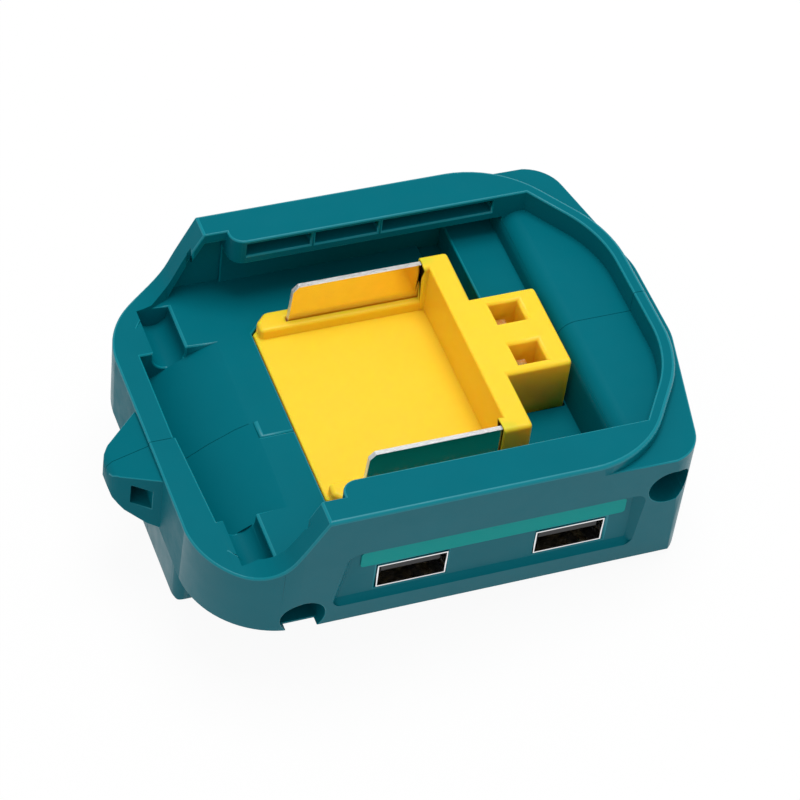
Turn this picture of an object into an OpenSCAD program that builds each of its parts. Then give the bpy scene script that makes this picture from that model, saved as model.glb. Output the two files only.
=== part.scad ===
// Battery adapter that slides onto a tool battery pack.
// It gives two charging ports, a barrel outlet and a lamp, and lies here with its battery side up.
// Datum of every module: x = 0 at the entry end face, y = 0 on the parting plane,
// z = 0 at the lower edge of the side walls. place() moves that to the part's own origin.

/* [Housing] */
// Width over the rails, at their tops
rail_w = 76; // [74:0.5:84]
// How far each side wall leans in from its top to its foot
side_draft = 1.6; // [0:0.1:2.4]
// Height of the rail tops above the lower edge of the side walls
body_h = 28.9; // [28:0.1:34]
// Wall thickness of the two half shells
wall = 2; // [1.6:0.1:2.3]
// Gap at the parting plane between the two half shells
seam = 0.1; // [0.04:0.02:0.2]
// Radius of the two plan corners at the entry end
entry_corner_r = 17; // [10:0.5:18]
// Height of the battery deck above the lower edge of the side walls
deck_z = 13.9; // [13.4:0.1:15]
// Thickness of the deck
deck_t = 1.8; // [1.4:0.1:2]

/* [Entry end] */
// Width of the rim across the entry end
rim_w = 4.6; // [3.5:0.1:6]
// Extra width of the rim in the front half, at the parting line
rim_jog = 0.4; // [0.1:0.1:1]
// Extra width of the rim in the front half, at the trough's end
rim_flare = 1.4; // [0.5:0.1:2]
// Length of the sloping trough behind the rim
trough_len = 14.7; // [13:0.1:18]
// Width of the trough
trough_w = 40.8; // [34:0.2:44]
// Depth of the trough at the rim, below the deck
trough_depth = 8; // [6:0.1:8.2]
// Length of each latch pocket
pocket_len = 6; // [5:0.1:7]
// Width of each latch pocket, outwards from the trough
pocket_w = 10.8; // [6:0.1:12]
// Depth of each latch pocket below the deck
pocket_depth = 4.5; // [3.6:0.1:5]
// Length of the deck between the trough and the terminal block
deck_len = 6.7; // [6:0.1:10]
// How far the parting line jogs to the front on the deck
jog_w = 3.7; // [2:0.1:6]

/* [Battery rails] */
// Clear width between the rail lips
rail_gap = 58.8; // [56:0.2:62]
// How far the lips stand back at their run-in, each side
run_in_step = 3.4; // [2:0.1:4]
// Height of the rail lips
lip_h = 5.6; // [4.5:0.1:6.2]
// Thickness of the side wall beside the rail groove, at the rail top
groove_wall = 3.2; // [2.6:0.1:3.6]
// Distance from the trough to the start of the rails
rail_setback = 0.4; // [0.2:0.1:2]
// Length of the run-in before the lips start
run_in_len = 4.3; // [2:0.1:6]
// Slope of the ramp from the rim up to the rails, in degrees
ramp_angle = 62; // [55:1:70]
// Radius at the foot of the ramp
ramp_r = 10; // [5:0.5:11]
// Thickness of the side wall at the top of the ramp
ramp_wall = 4; // [3.6:0.1:4.6]
// Thickness of the ramp over its groove
ramp_skin = 1.4; // [1:0.1:2]
// Distance from the start of the rails back to the end of the ramp's wide part
run_in_back = 2; // [1:0.1:4]
// Thickness of the run-in over its groove
run_in_skin = 2.4; // [1.6:0.1:3]
// Thickness of the side wall beside the run-in's groove, at the rail top
run_in_wall = 2.6; // [2.2:0.1:3]
// Height of the relief slots in the lips
slot_h = 2.8; // [1:0.1:2.9]
// Thickness of the lips over the relief slots
slot_drop = 1; // [0.6:0.1:1.4]
// Depth of the relief slots in the lips
slot_d = 5.6; // [0.6:0.1:6]
// Width of the webs between the relief slots
slot_web = 1; // [0.6:0.1:3]

/* [Nose] */
// Length from the rise of the nose shelf to the inner face of the nose lip
nose_depth = 14.7; // [13.6:0.1:18]
// Height of the nose shelf below the rail tops
shelf_drop = 4.7; // [4:0.1:5]
// Radius at the top of the nose shelf's front
shelf_r = 3.6; // [1:0.1:5]
// Lean of the nose shelf's front
shelf_lean = 0.6; // [0:0.1:1.2]
// Step down of the floor behind the crossbar
floor_step = 0.8; // [0.2:0.1:0.9]
// Width of the straight end of the nose lip
nose_flat_w = 31.8; // [24:0.2:38]
// Slope of the nose lip's corners, in degrees from straight across
nose_slant = 35; // [28:1:40]
// Radius of the nose lip's corners
nose_r = 24; // [12:1:30]
// Radius where the rail's outer edge turns into the nose lip
nose_turn_r = 20; // [12:1:21]
// Thickness of the nose lip
nose_lip_t = 2.4; // [2:0.1:3]
// Width of the shoulder outside the nose lip
shoulder_w = 1.8; // [1.2:0.1:3]
// Drop of the shoulder below the rail tops
shoulder_drop = 2.5; // [1.5:0.1:3.5]
// Width of the straight end of the shoulder
shoulder_flat_w = 18; // [10:1:26]
// Slope of the shoulder's corners, in degrees from straight across
shoulder_slant = 12.7; // [8:0.1:16]
// Radius of the shoulder's outer corners
shoulder_r = 7.5; // [4:0.5:9]

/* [Terminal block] */
// Length of the tray between the deck and the crossbar
tray_len = 32.6; // [31:0.1:38]
// Thickness of the tray
tray_t = 1.7; // [1.4:0.1:1.7]
// Width of the terminal block's tray with its ledges
tray_w = 46.6; // [45:0.2:48]
// Chamfer of the tray's two free corners
tray_chamfer = 2.7; // [1:0.1:3]
// How far the crossbar stands in from the tray's sides
bar_inset = 1.1; // [0.4:0.1:1.6]
// Height of the crossbar and signal tower above the deck
block_h = 10.75; // [10.4:0.05:12]
// Thickness of the crossbar
bar_t = 4.6; // [4:0.1:6]
// How far the crossbar's end posts stand forward
post_t = 0.9; // [0.5:0.1:1.5]
// Length of the signal tower
signal_len = 12.5; // [11:0.1:14]
// Width of the signal tower
signal_w = 19.2; // [17:0.2:21]
// Length of each signal hole
signal_hole_l = 5.4; // [4.4:0.1:6]
// Width of each signal hole
signal_hole_w = 4.8; // [4:0.1:5.4]
// Depth of each signal hole
signal_hole_d = 8.5; // [6:0.1:9]
// Distance between the signal holes
signal_pitch = 10.3; // [9:0.1:11]
// Height of the ledges that carry the blades
ledge_h = 2.2; // [1.5:0.1:3]
// Width of the ledges that carry the blades
ledge_w = 4.5; // [4:0.1:5]
// Thickness of the contact blades
blade_t = 1; // [0.8:0.05:1.2]
// Length of the contact blades in front of the crossbar
blade_len = 26.2; // [22:0.1:29]
// Height of the contact blades above the deck
blade_h = 10.3; // [8:0.1:10.4]
// Distance of the contact blades from the tray's sides
blade_inset = 2.4; // [1.8:0.1:2.8]
// Width of the blade tails that go down to the board
tail_w = 6; // [4:0.5:8]
// Sheet thickness of the signal contacts
leaf_t = 0.4; // [0.3:0.05:0.5]
// Width of the signal contacts
leaf_w = 2.4; // [1.6:0.1:3]
// Height of the signal contacts' bent end
leaf_h = 3.4; // [2:0.1:4]
// Gap between the block and the shelf behind it
shelf_gap = 0.4; // [0.3:0.1:2]

/* [Ports] */
// Offset of the port panel's middle from the terminal block's middle
panel_offset = 1.15; // [0:0.05:2]
// Length of the port panel
panel_len = 52; // [48:0.5:54]
// Height of the port panel's top edge above the deck
panel_rise = 4.4; // [3:0.1:5]
// Height of the port panel below the ports
panel_foot = 0.45; // [0.2:0.05:0.8]
// Depth of the port panel at its bottom edge
panel_d = 1.1; // [0.6:0.1:1.3]
// Width of the bevel round the port panel
panel_bevel = 2; // [1:0.1:2.4]
// Radius of the port panel's corners
panel_corner_r = 2.2; // [0.5:0.1:3]
// Lean of the port panel's entry side end, in degrees
panel_lean = 11; // [0:1:14]
// Distance between the charging ports
usb_pitch = 29.6; // [26:0.1:31]
// Gap between the charging ports and the deck over them
port_gap = 0.45; // [0.3:0.05:0.6]
// Width of a charging port's metal shell
usb_w = 13.1; // [12.6:0.1:13.4]
// Height of a charging port's metal shell
usb_h = 5.7; // [5.3:0.1:5.7]
// Length of a charging port's metal shell
usb_len = 14; // [12:0.5:14.5]
// Sheet thickness of a charging port's metal shell
usb_t = 0.3; // [0.25:0.05:0.4]
// Thickness of the tongue in a charging port
tongue_t = 1.7; // [1.4:0.1:1.9]
// Distance between the contacts in a charging port
pin_pitch = 2.3; // [2:0.1:2.5]
// Width of the contacts in a charging port
pin_w = 1; // [0.7:0.1:1.2]
// Distance of the label strip from the panel's ends
label_margin = 1.2; // [0.6:0.1:6]
// Height of the label strip
label_h = 3.6; // [2:0.1:4]
// Thickness of the label strip
label_t = 0.2; // [0.1:0.05:0.4]
// Width of the barrel outlet's body
jack_w = 9; // [8:0.5:10]
// Height of the barrel outlet's body
jack_h = 11; // [10:0.1:11.4]
// Length of the barrel outlet's body behind the wall
jack_len = 12; // [10:0.5:13]
// Gap between the signal tower and the pad raised over the barrel outlet
pad_gap = 2.6; // [1:0.1:5]
// How far the raised pad reaches out from the nose shelf
pad_w = 8.7; // [8:0.1:10]
// Inside diameter of the barrel outlet
jack_bore = 6.3; // [5.9:0.1:6.4]
// Diameter of the barrel outlet's centre pin
jack_pin_d = 2.1; // [1.8:0.1:2.5]

/* [Lug and lamp bar] */
// Length of the strap lug beyond the entry end
lug_len = 7.8; // [7:0.1:10]
// Width of the strap lug at its root
lug_w = 17.2; // [14:0.2:22]
// Width of the strap lug near its tip
lug_tip_w = 7.8; // [6:0.2:10]
// Length of the strap hole
strap_l = 3.3; // [2:0.1:3.6]
// Height of the strap hole
strap_h = 4.5; // [2:0.1:5]
// Length of the lamp bar under the entry end
bar_len = 14; // [12.5:0.1:15]
// Width of the lamp bar
bar_w = 33; // [30:0.2:38]
// Height of the lamp bar below the side walls
bar_h = 12.1; // [8:0.1:13]
// Radius of the lamp bar's lower edges
bar_r = 1.6; // [0.6:0.1:2]
// Radius of the lamp bar's upright corners
bar_corner_r = 3; // [1:0.1:3.6]
// Step of the lamp bar in from the entry end
bar_in = 0.9; // [0.2:0.1:1.4]
// Width of the flange that holds the lamp window inside the bar
lens_flange = 1.2; // [0.8:0.1:2]
// Thickness of the lamp window's flange
lens_t = 1; // [0.8:0.1:1.4]
// Height of the reflector behind the lamp window
reflector_h = 2.8; // [2:0.1:3]
// Thickness of the lamp's board
lamp_board_t = 1; // [0.8:0.1:1.2]
// Side length of a light chip
led_w = 2.8; // [2:0.1:3.5]
// Height of a light chip
led_h = 0.8; // [0.5:0.1:1]
// Outside diameter of the lamp's wires
wire_d = 1.2; // [0.8:0.1:1.4]
// Number of light chips behind the window
led_count = 5; // [3:1:6]

/* [Power button] */
// Diameter of the power button
button_d = 12; // [11:0.5:14]
// How far the power button stands out of the underside
button_out = 1; // [0.6:0.1:2]
// Travel of the power button
button_travel = 0.6; // [0.3:0.05:0.65]
// Side length of the switch under the button
switch_w = 6; // [5:0.1:6]
// Diameter of the switch's plunger
plunger_d = 3; // [2:0.1:3.2]

/* [Circuit board] */
// Thickness of the circuit board
board_t = 1.6; // [1.2:0.1:1.8]
// Side length of an inductor
inductor_w = 10; // [8:0.5:12]
// Height of an inductor
inductor_h = 4.6; // [3:0.1:5]
// Diameter of a capacitor
cap_d = 6.3; // [4:0.1:7]
// Height of a capacitor
cap_h = 5.2; // [4:0.1:5.4]
// Length of a regulator chip
chip_l = 5; // [4:0.1:7]
// Height of a regulator chip
chip_h = 1.5; // [1:0.1:2]
// Length of the fuse
fuse_l = 7; // [5:0.1:8]
// Height of the fuse
fuse_h = 2.4; // [1.5:0.1:3]

/* [Fasteners] */
// Shank diameter of the case screws
screw_d = 2.8; // [2.4:0.1:3]
// Head diameter of the case screws
screw_head_d = 4.6; // [4.4:0.1:4.8]
// Length of the case screws under their heads
screw_len = 18; // [14:0.5:24]
// Mouth diameter of the screw recesses
recess_mouth_d = 8.2; // [6:0.1:8.4]
// Depth of the wide mouth of the screw recesses
recess_mouth_depth = 5; // [2:0.5:8]
// Depth to which the entry recess breaks through the foot edge
recess_bite = 1.7; // [0.5:0.1:1.9]
// Distance of the entry screw from the trough's end
entry_screw_in = 2; // [1.5:0.1:2.4]
// Height of the entry screw
entry_screw_z = 2.95; // [2.9:0.05:3.4]
// Distance of the nose screw from the nose's end
nose_screw_x = 11; // [10.4:0.1:11.6]
// Depth of the nose screw below the nose shelf
nose_screw_drop = 5.2; // [5:0.1:7]
// Shank diameter of the board screws
board_screw_d = 2.2; // [1.8:0.1:2.4]

/* [Fits] */
// Clearance round the terminal block in the deck
block_fit = 0.12; // [0.05:0.01:0.2]
// Clearance round ports, lens and other seated pieces
seat_fit = 0.1; // [0.05:0.01:0.15]
// Clearance round the moving button
button_fit = 0.3; // [0.2:0.05:0.4]
// Clearance of screws in their pilot holes
pilot_fit = 0.02; // [0.01:0.01:0.05]

/* [Hidden] */
$fn = 48;
cut = 1;
skim = 0.02;
far = 200;

// Stations along x, each from the one before
x_trough = rim_w + trough_len;
x_rail = x_trough + rail_setback;
x_foot = x_rail - (body_h - deck_z) / tan(ramp_angle);
x_lip = x_rail + run_in_len;
x_tray = x_trough + deck_len;
x_bar = x_tray + tray_len;
x_signal = x_bar + bar_t;
x_block = x_signal + signal_len;
x_shelf = x_block + shelf_gap;
x_tower = x_signal + signal_len / 2 - 0.7;
x_nose_in = x_shelf + nose_depth;
x_nose_out = x_nose_in + nose_lip_t;
body_len = x_nose_out + shoulder_w;

// Levels along z and half widths along y
half_w = rail_w / 2;
foot_half_w = half_w - side_draft;
deck_under = deck_z - deck_t;
floor_z = deck_z - floor_step;
shelf_z = body_h - shelf_drop;
x_nose_hollow = x_shelf + shelf_lean + wall;
nose_hollow_z = shelf_z - wall;
lip_z = body_h - lip_h;
shoulder_z = body_h - shoulder_drop;
groove_half_w = half_w - groove_wall;
ramp_half_w = half_w - ramp_wall;
run_in_top = body_h - run_in_skin;
block_z = deck_z + block_h;
blade_z = deck_z + blade_h;
trough_z = deck_z - trough_depth;
trough_slope = trough_depth / trough_len;
pocket_x = rim_w + 2.5;
pocket_r = pocket_len / 2;
pocket_z = deck_z - pocket_depth + pocket_r;

block_w = tray_w - 2 * bar_inset;
blade_pitch = tray_w - 2 * blade_inset;
run_in_w = rail_gap + 2 * run_in_step;

// Ports and board
board_top = deck_under - port_gap - usb_h;
board_low = board_top - board_t;
panel_x = (x_tray + x_block) / 2 + panel_offset;
panel_low_z = board_top - panel_foot;
// Depth of the panel's lower bevel for each mm of its height
sill_slope = 0.75;
panel_top_z = deck_z + panel_rise;
panel_y = -(foot_half_w + side_draft * panel_low_z / body_h - panel_d);
usb_front = panel_y + 0.05;
usb_x = [panel_x - usb_pitch / 2, panel_x + usb_pitch / 2];
tongue_top = board_top + usb_h - usb_t - 0.57;
board_x0 = usb_x[0] - usb_w / 2 - 7.2;
board_x1 = usb_x[1] + usb_w / 2 + 6;
board_y0 = panel_y + 2.4;
board_y1 = foot_half_w - wall - 2.8;
label_len = panel_len - 2 * label_margin;
label_z = (panel_top_z + board_top + usb_h) / 2 - 0.55;

// Barrel outlet
pad_x = x_shelf - pad_w;
pad_y = signal_w / 2 + pad_gap;
jack_x = pad_x + wall + jack_w / 2 + seat_fit;
jack_z = board_top + jack_h * 0.59;
jack_top = board_top + jack_h;
pad_z = jack_top + seat_fit + wall;
jack_face_y = foot_half_w;
jack_in_y = foot_half_w - wall - 0.2;
jack_low_y = jack_in_y - jack_len;
jack_nose_d = jack_w - 1;

// Power button: the switch hangs from the board into the hollow button
button_x = panel_x;
switch_z = wall - 0.05;
plunger_out = button_travel + 0.15;
plunger_z = switch_z - plunger_out;
button_flange = 0.8;
button_skirt = 0.9;
button_floor = 0.6;

// Lamp bar
lamp_fit = 3 * seat_fit;
lens_x = (bar_in + bar_len) / 2;
flange_half_x = (bar_len - bar_in) / 2 - wall - lamp_fit;
flange_half_y = bar_w / 2 - wall - lamp_fit;
lens_half_x = flange_half_x - lens_flange;
lens_half_y = flange_half_y - lens_flange;
lens_in_z = -bar_h + wall;
reflector_z = lens_in_z + lens_t + seat_fit / 2;
lamp_board_z = reflector_z + reflector_h + seat_fit / 2;
wire_y = 2;

// Fasteners
seat_y = -8;
recess_d = screw_head_d + 0.5;
recess_wall = 1.3;
recess_floor = entry_screw_z - recess_d / 2;
head_h = 2;
boss_end_y = seat_y + screw_len + 2;
entry_screw_x = x_trough - entry_screw_in;
screw_spots = [[entry_screw_x, entry_screw_z], [body_len - nose_screw_x, shelf_z - nose_screw_drop]];
board_screw_y = board_y0 + 4.2;
board_screw_x = [board_x0 + 3.4, board_x1 - 3.2];
board_boss_d = board_screw_d + 3.4;
board_screw_len = 3.4;

teal = [0.04, 0.42, 0.47];
yellow = [0.98, 0.79, 0.13];
steel = [0.72, 0.73, 0.75];
black = [0.08, 0.08, 0.09];
brass = [0.8, 0.62, 0.3];

function unit(v) = v / norm(v);

// Points of one rounded corner at b between a and c
function corner(a, b, c, r, steps) =
    let (
        u = unit(a - b),
        v = unit(c - b),
        half = acos(u * v) / 2,
        mid = b + unit(u + v) * r / sin(half),
        start = b + u * r / tan(half),
        end = b + v * r / tan(half),
        a0 = atan2(start.y - mid.y, start.x - mid.x),
        turn = atan2(end.y - mid.y, end.x - mid.x) - a0,
        sweep = turn > 180 ? turn - 360 : turn < -180 ? turn + 360 : turn
    )
    [for (i = [0 : steps]) mid + r * [cos(a0 + sweep * i / steps), sin(a0 + sweep * i / steps)]];

// Convex outline with a radius at each point, 0 for a sharp one
function rounded(points, radii, steps = 10) =
    let (n = len(points))
    [for (i = [0 : n - 1])
        each radii[i] == 0
            ? [points[i]]
            : corner(points[(i + n - 1) % n], points[i], points[(i + 1) % n], radii[i], steps)];

// Where a nose edge of the given end, straight half width and slope meets the side
function nose_side_x(end, flat, slant, side) = end - (side - flat) * tan(slant);

// Plan outline of the body, moved inwards by inset, with square corners at the entry end
function body_outline(inset) =
    let (
        side = half_w - inset,
        end = body_len - inset,
        flat = shoulder_flat_w / 2 - inset * tan(shoulder_slant / 2),
        turn = nose_side_x(end, flat, shoulder_slant, side),
        near_r = shoulder_r - inset
    )
    rounded(
        [[inset, -side], [turn, -side], [end, -flat], [end, flat], [turn, side], [inset, side]],
        [0, near_r, near_r * 2, near_r * 2, near_r, 0]);

// Plan outline of the rails and the nose lip
function lip_outline() =
    let (
        flat = nose_flat_w / 2 + nose_lip_t * tan(nose_slant / 2),
        turn = nose_side_x(x_nose_out, flat, nose_slant, half_w)
    )
    rounded(
        [[entry_corner_r, -half_w], [turn, -half_w], [x_nose_out, -flat],
            [x_nose_out, flat], [turn, half_w], [entry_corner_r, half_w]],
        [0, nose_turn_r, nose_r, nose_r, nose_turn_r, 0]);

// Plan outline of the battery bay between the lips
function bay_outline() =
    let (
        flat = nose_flat_w / 2,
        turn = nose_side_x(x_nose_in, flat, nose_slant, rail_gap / 2)
    )
    rounded(
        [[-far, -rail_gap / 2], [turn, -rail_gap / 2], [x_nose_in, -flat],
            [x_nose_in, flat], [turn, rail_gap / 2], [-far, rail_gap / 2]],
        [0, 0, nose_r, nose_r, 0, 0]);

// Plan outline of the run-in before the lips, with the lips' rounded starts
function run_in_outline() =
    let (
        r = (run_in_w - rail_gap) / 2 - 0.6,
        side = rail_gap / 2,
        turn = [for (i = [0 : 6]) [x_lip + r - r * cos(15 * i), side + r - r * sin(15 * i)]]
    )
    concat(
        [[-far, run_in_w / 2], [x_lip, run_in_w / 2]],
        turn,
        [for (i = [6 : -1 : 0]) [turn[i].x, -turn[i].y]],
        [[x_lip, -run_in_w / 2], [-far, -run_in_w / 2]]);

// Plan outline of the terminal block's tray, grown by its clearance
function tray_outline(grow) =
    let (
        side = tray_w / 2 + grow,
        front = x_tray - grow,
        back = x_bar + grow
    )
    [[front, -side + tray_chamfer], [front + tray_chamfer, -side], [back, -side],
        [back, side], [front + tray_chamfer, side], [front, side - tray_chamfer]];

// Cross section between the leaning side walls, moved inwards by inset
function side_section(inset, low, high) =
    [for (p = [[-1, low], [-1, high], [1, high], [1, low]])
        [p.x * (foot_half_w - inset + side_draft * p.y / body_h), p.y]];

// Side view of the body: rim, ramp with its foot radius, rails
function side_profile() =
    let (mid = [x_foot - ramp_r * tan(ramp_angle / 2), deck_z + ramp_r])
    concat(
        [[0, 0], [body_len, 0], [body_len, body_h], [x_rail, body_h]],
        [for (i = [8 : -1 : 0]) mid + ramp_r * [sin(ramp_angle * i / 8), -cos(ramp_angle * i / 8)]],
        [[0, deck_z]]);

module place() {
    translate([(lug_len - body_len) / 2, 0, bar_h])
        children();
}

// A cube given by its lowest and highest corners
module block(low, high) {
    translate(low)
        cube(high - low);
}

// An outline in x and z drawn out to both sides of the parting plane
module along_y(width) {
    rotate([90, 0, 0])
        linear_extrude(height = width, center = true)
            children();
}

// An outline in y and z drawn out along x
module along_x(start, end) {
    translate([start, 0, 0])
        rotate([90, 0, 90])
            linear_extrude(height = end - start)
                children();
}

// A cylinder along y from one y to another
module rod_y(x, z, from, to, d) {
    translate([x, from, z])
        rotate([-90, 0, 0])
            cylinder(h = to - from, d = d);
}

// What the rounded entry corners, which lean with the side walls, leave of square ones
module entry_corner_cuts(inset) {
    lean = atan(side_draft / body_h);
    axis_x = entry_corner_r - skim;
    axis_y = foot_half_w - entry_corner_r / cos(lean) + skim;
    for (side = [-1, 1])
        translate([axis_x, side * axis_y, 0])
            rotate([-side * lean, 0, 0])
                difference() {
                    block([-far, min(0, side * far), -far], [0, max(0, side * far), far]);
                    cylinder(h = 3 * far, r = entry_corner_r - inset, center = true);
                }
}

// Housing, whole
module body_outer() {
    difference() {
        intersection() {
            union() {
                linear_extrude(height = shoulder_z)
                    polygon(body_outline(0));
                linear_extrude(height = body_h)
                    polygon(lip_outline());
            }
            along_x(-cut, body_len + cut)
                polygon(side_section(0, -cut, body_h + cut));
            along_y(rail_w + 2 * cut)
                polygon(side_profile());
        }
        entry_corner_cuts(0);
    }
}

module lug() {
    root = wall / 2;
    top_z = deck_z - 0.6;
    low_z = 0.4;
    half = lug_w / 2;
    tip = lug_tip_w / 2;
    intersection() {
        linear_extrude(height = deck_z)
            polygon([[root, -half], [root, half], [0, half], [1.5 - lug_len, tip], [0.5 - lug_len, tip - 1.2],
                [-lug_len, tip - 2.6], [-lug_len, 2.6 - tip],
                [0.5 - lug_len, 1.2 - tip], [1.5 - lug_len, -tip],
                [0, -half]]);
        along_y(lug_w)
            polygon([[root, top_z], [1.2 - lug_len, top_z - 2.6], [0.2 - lug_len, top_z - 3.6],
                [-lug_len, top_z - 4.8], [-lug_len, low_z + 5.8], [0.6 - lug_len, low_z + 4],
                [2.4 - lug_len, low_z + 2], [-2, low_z + 0.3], [root, low_z]]);
    }
}

module strap_hole() {
    z = deck_z / 2 + 0.2;
    x = -lug_len * 0.38;
    along_y(lug_w + cut)
        translate([x - strap_l / 2, z - strap_h / 2])
            square([strap_l, strap_h]);
}

module lamp_bar() {
    half = bar_w / 2;
    foot = bar_len + 2.3;
    intersection() {
        along_y(bar_w)
            polygon(rounded(
                [[bar_in, 0], [bar_in, -bar_h], [bar_len, -bar_h],
                    [foot, 0], [foot, wall], [bar_in + wall / 2, wall], [bar_in + wall / 2, 0]],
                [0, bar_r, bar_r, 0, 0, 0, 0], 5));
        along_x(bar_in, foot)
            polygon(rounded([[-half, wall], [-half, -bar_h], [half, -bar_h], [half, wall]],
                [0, bar_r, bar_r, 0], 5));
        translate([0, 0, -bar_h])
            linear_extrude(height = bar_h + wall)
                polygon(rounded([[bar_in, -half], [foot, -half], [foot, half], [bar_in, half]],
                    [bar_corner_r, 0, 0, bar_corner_r]));
    }
}

// Hollow for the board and what stands on it
module main_cavity() {
    ceiling = pocket_z - pocket_r - wall;
    slope_drop = wall * sqrt(1 + trough_slope * trough_slope);
    slope_z = trough_z - slope_drop;
    x_ceiling = rim_w + (deck_under - slope_z) / trough_slope;
    difference() {
        intersection() {
            linear_extrude(height = body_h)
                polygon(body_outline(wall));
            along_x(0, body_len)
                polygon(side_section(wall, wall, body_h));
            along_y(rail_w)
                polygon([[wall, wall], [body_len, wall], [body_len, nose_hollow_z],
                    [x_nose_hollow, nose_hollow_z], [x_nose_hollow, deck_under],
                    [x_ceiling, deck_under], [pocket_x + pocket_len + wall, ceiling],
                    [wall, ceiling]]);
        }
        entry_corner_cuts(wall);
    }
}

// Keeps plastic under the sloping trough where the hollow would break through it
module trough_skin() {
    slope_drop = wall * sqrt(1 + trough_slope * trough_slope);
    along_y(trough_w + 2 * wall)
        polygon([[0, trough_z - slope_drop], [rim_w, trough_z - slope_drop],
            [x_trough + wall, deck_z - slope_drop + wall * trough_slope],
            [x_trough + wall, deck_z], [0, deck_z]]);
}

module lamp_cavity() {
    block([bar_in + wall, wall - bar_w / 2, wall - bar_h], [bar_len - wall, bar_w / 2 - wall, wall + cut]);
}

// Hollow under the ramp and the run-in, in x and z
function run_in_groove() =
    let (start = x_foot + ramp_skin / sin(ramp_angle))
    [[start, 0], [start, deck_z], [start + (run_in_top - deck_z) / tan(ramp_angle), run_in_top],
        [x_lip, run_in_top], [x_lip, 0]];

module battery_bay() {
    mid = [x_shelf + shelf_lean + shelf_r, shelf_z - shelf_r];
    floor = concat(
        [[-far, deck_z], [x_signal, deck_z], [x_signal, floor_z], [x_shelf, floor_z]],
        [for (i = [0 : 8]) mid + shelf_r * [-cos(90 * i / 8), sin(90 * i / 8)]],
        [[body_len, shelf_z], [body_len, far], [-far, far]]);
    intersection() {
        along_y(rail_w)
            polygon(floor);
        union() {
            difference() {
                union() {
                    linear_extrude(height = far)
                        polygon(bay_outline());
                    linear_extrude(height = far)
                        polygon(run_in_outline());
                    block([-far, -ramp_half_w, 0], [x_rail - run_in_back, ramp_half_w, far]);
                }
                entry_corner_cuts(ramp_wall);
            }
            along_y(rail_w - 2 * run_in_wall)
                polygon(run_in_groove());
            block([x_lip - cut, -groove_half_w, 0], [x_shelf + 1, groove_half_w, lip_z]);
        }
    }
}

// Pad over the barrel outlet, and the hollow inside it
module outlet_pad() {
    block([pad_x, pad_y, deck_under], [x_nose_hollow, groove_half_w + cut, pad_z]);
}

module outlet_hollow() {
    block([pad_x + wall, jack_low_y - 1.8, deck_under - cut],
        [max(x_nose_hollow, jack_x + jack_w / 2) + seat_fit, jack_in_y + seat_fit, jack_top + seat_fit]);
}

// The trough; the rim before it is wider in the front half
module trough() {
    intersection() {
        along_y(trough_w)
            polygon([[rim_w, far], [rim_w, trough_z],
                [rim_w + trough_len * 0.45, trough_z + trough_depth * 0.54],
                [rim_w + trough_len * 0.78, trough_z + trough_depth * 0.86],
                [x_trough, deck_z], [x_trough, far]]);
        linear_extrude(height = far)
            polygon([[0, trough_w], [0, 0], [rim_w + rim_jog, 0], [rim_w + rim_flare, -trough_w / 2],
                [rim_w + rim_flare, -trough_w], [x_trough + wall, -trough_w], [x_trough + wall, trough_w]]);
    }
}

module pockets() {
    for (side = [-1, 1]) {
        from = min(side * (trough_w / 2 - skim), side * (trough_w / 2 + pocket_w));
        rod_y(pocket_x + pocket_r, pocket_z, from, from + pocket_w + skim, pocket_len);
        block([pocket_x, from, pocket_z], [pocket_x + pocket_len, from + pocket_w + skim, far]);
    }
}

module lip_slots() {
    z = body_h - slot_drop - slot_h;
    slots = (x_shelf - x_lip) / 4;
    webs = [x_lip + 2.3, x_lip + 1.2 * slots, x_lip + 2.2 * slots, x_shelf - 0.9];
    for (i = [0 : len(webs) - 2], side = [-1, 1]) {
        from = min(side * (rail_gap / 2 - cut), side * (rail_gap / 2 + slot_d));
        block([webs[i] + slot_web / 2, from, z],
            [webs[i + 1] - slot_web / 2, from + slot_d + cut, z + slot_h]);
    }
}

// Outline of the port panel on the side wall, in x and z
function panel_outline() =
    let (
        left = panel_x - panel_len / 2,
        right = panel_x + panel_len / 2,
        low = panel_low_z - panel_d / sill_slope,
        top_depth = panel_d + side_draft * (panel_top_z - panel_low_z) / body_h,
        lean = (panel_top_z - low) * tan(panel_lean)
    )
    rounded(
        [[left - panel_d - lean, low], [right + panel_d, low],
            [right + top_depth, panel_top_z], [left - top_depth, panel_top_z]],
        [panel_corner_r, panel_corner_r, panel_corner_r, panel_corner_r], 8);

module port_panel() {
    half = panel_len / 2;
    intersection() {
        along_y(rail_w + 2 * cut)
            polygon(panel_outline());
        along_x(panel_x - far, panel_x + far)
            polygon([[panel_y, panel_low_z], [panel_y, panel_top_z], [-far, panel_top_z],
                [-far, panel_low_z - panel_bevel],
                [panel_y - panel_bevel * sill_slope, panel_low_z - panel_bevel]]);
        linear_extrude(height = body_h)
            polygon([[panel_x - far, panel_y], [panel_x + half, panel_y],
                [panel_x + half + panel_bevel, panel_y - panel_bevel], [panel_x + half + panel_bevel, -far],
                [panel_x - far, -far]]);
        translate([panel_x - half, panel_y, panel_top_z])
            rotate([0, panel_lean, 0])
                rotate([0, 0, -45])
                    block([0, -far, -far], [far, far, far]);
    }
}

module port_holes() {
    for (x = usb_x)
        block([x - usb_w / 2 - seat_fit, panel_y - cut, board_top - seat_fit],
            [x + usb_w / 2 + seat_fit, panel_y + wall + 2 * cut, board_top + usb_h + seat_fit]);
    rod_y(jack_x, jack_z, jack_in_y - cut, far, jack_nose_d + 2 * seat_fit);
}

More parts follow.
